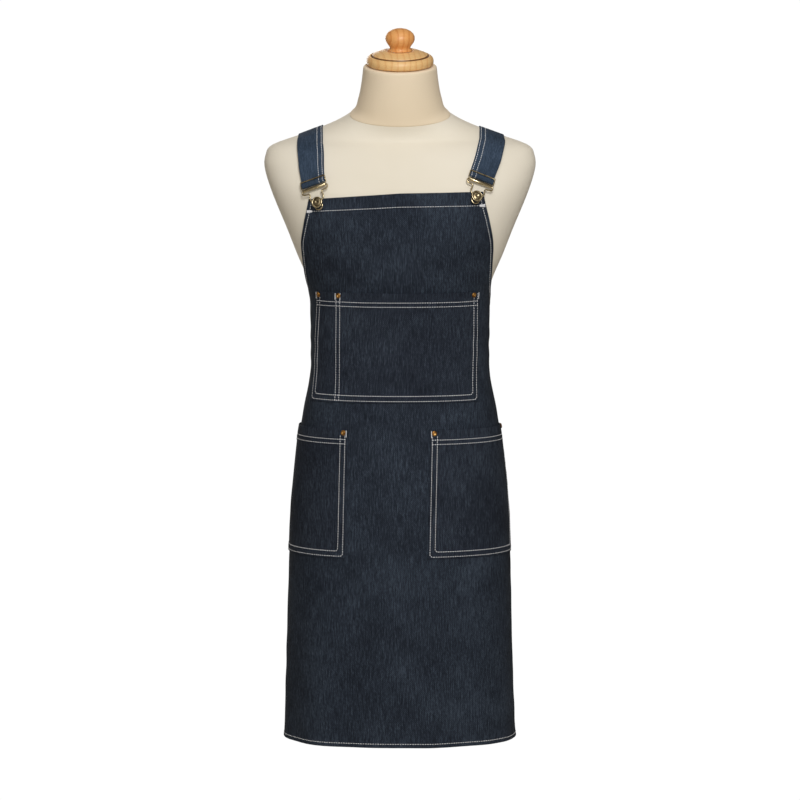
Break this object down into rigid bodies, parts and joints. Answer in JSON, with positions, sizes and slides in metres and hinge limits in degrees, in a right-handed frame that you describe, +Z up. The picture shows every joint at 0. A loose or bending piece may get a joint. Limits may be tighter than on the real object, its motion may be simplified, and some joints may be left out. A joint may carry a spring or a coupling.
{
  "type": "denim bib apron on a dress form",
  "caption": "Cross-back denim bib apron with buckled straps, chest and hip pockets and a tied waist, hanging on a headless dress form with a turned neck cap.",
  "frame": {"origin": "centre of the mouth of the stand socket, on the underside of the dress form's flange", "axes": "+Z up the form, -Y out of the front of the bib, +X to the right of someone facing the apron"},
  "size_m": [0.4038, 0.2416, 1.0628],
  "materials": {
    "denim": "dark indigo twill, unwashed, with white topstitching",
    "strap_denim": "indigo twill folded double and topstitched, paler than the body",
    "tie_tape": "indigo twill strip, folded and stitched",
    "jersey": "fine cream knit drawn tight",
    "neck_jersey": "fine cream knit, slightly warmer",
    "foam": "rigid moulded foam",
    "pine": "turned pine, satin varnish",
    "pine_knob": "turned pine, satin varnish, redder",
    "board": "plywood, sanded",
    "steel": "zinc plated",
    "antique_brass": "antique brass plate, rubbed bright on the edges",
    "copper": "antique copper plate"
  },
  "bodies": {
    "root": {"form_core": "foam", "torso_cover": "jersey", "neck_cover": "neck_jersey", "neck_plug": "pine", "base_board": "board", "stand_flange": "steel", "flange_screw_1": "steel", "flange_screw_2": "steel", "flange_screw_3": "steel", "flange_screw_4": "steel", "apron_body": "denim", "chest_pocket": "denim", "hip_pocket_left": "denim", "hip_pocket_right": "denim", "rivet_cap_chest_outer": "copper", "rivet_burr_chest_outer": "copper", "rivet_cap_chest_divider": "copper", "rivet_burr_chest_divider": "copper", "rivet_cap_chest_inner": "copper", "rivet_burr_chest_inner": "copper", "rivet_cap_hip_left_inner": "copper", "rivet_burr_hip_left_inner": "copper", "rivet_cap_hip_left_outer": "copper", "rivet_burr_hip_left_outer": "copper", "rivet_cap_hip_right_inner": "copper", "rivet_burr_hip_right_inner": "copper", "rivet_cap_hip_right_outer": "copper", "rivet_burr_hip_right_outer": "copper", "strap_left": "strap_denim", "strap_right": "strap_denim", "button_tack_left": "steel", "button_tack_right": "steel", "bow_knot": "tie_tape", "waist_tie_left": "tie_tape", "bow_loop_left": "tie_tape", "tie_tail_left": "tie_tape", "waist_tie_right": "tie_tape", "bow_loop_right": "tie_tape", "tie_tail_right": "tie_tape"},
    "buckle_left": {"slider_left": "antique_brass"},
    "buckle_right": {"slider_right": "antique_brass"},
    "hook_left": {"hook_left": "antique_brass"},
    "hook_right": {"hook_right": "antique_brass"},
    "button_left": {"button_left": "antique_brass"},
    "button_right": {"button_right": "antique_brass"},
    "neck_cap": {"neck_cap": "pine", "neck_knob": "pine_knob", "cap_bolt": "steel"}
  },
  "joints": [
    {"name": "left_buckle_slide", "type": "slide", "parent": "root", "child": "buckle_left", "axis": [0.2345, -0.3476, -0.9078], "range_m": [0, 0.01], "deforming": ["strap_left"]},
    {"name": "left_hook_swing", "type": "hinge", "parent": "buckle_left", "child": "hook_left", "pos_m": [-0.12595, -0.0827, 0.5385], "axis": [-0.9105, 0.2486, -0.3304], "range_deg": [0, 3]},
    {"name": "left_button_turn", "type": "hinge", "parent": "root", "child": "button_left", "pos_m": [-0.121, -0.09285, 0.51723], "axis": [-0.3405, -0.9041, 0.2582], "continuous": true},
    {"name": "right_buckle_slide", "type": "slide", "parent": "root", "child": "buckle_right", "axis": [-0.2694, -0.4493, -0.8518], "range_m": [0, 0.01], "deforming": ["strap_right"]},
    {"name": "right_hook_swing", "type": "hinge", "parent": "buckle_right", "child": "hook_right", "pos_m": [0.11827, -0.08201, 0.54588], "axis": [-0.923, -0.132, 0.3616], "range_deg": [0, 3]},
    {"name": "right_button_turn", "type": "hinge", "parent": "root", "child": "button_right", "pos_m": [0.11235, -0.09456, 0.5262], "axis": [0.2749, -0.8836, 0.3791], "continuous": true},
    {"name": "neck_cap_turn", "type": "hinge", "parent": "root", "child": "neck_cap", "pos_m": [0, -0.0103, 0.7167], "axis": [0, -0.1959, 0.9806], "continuous": true}
  ]
}
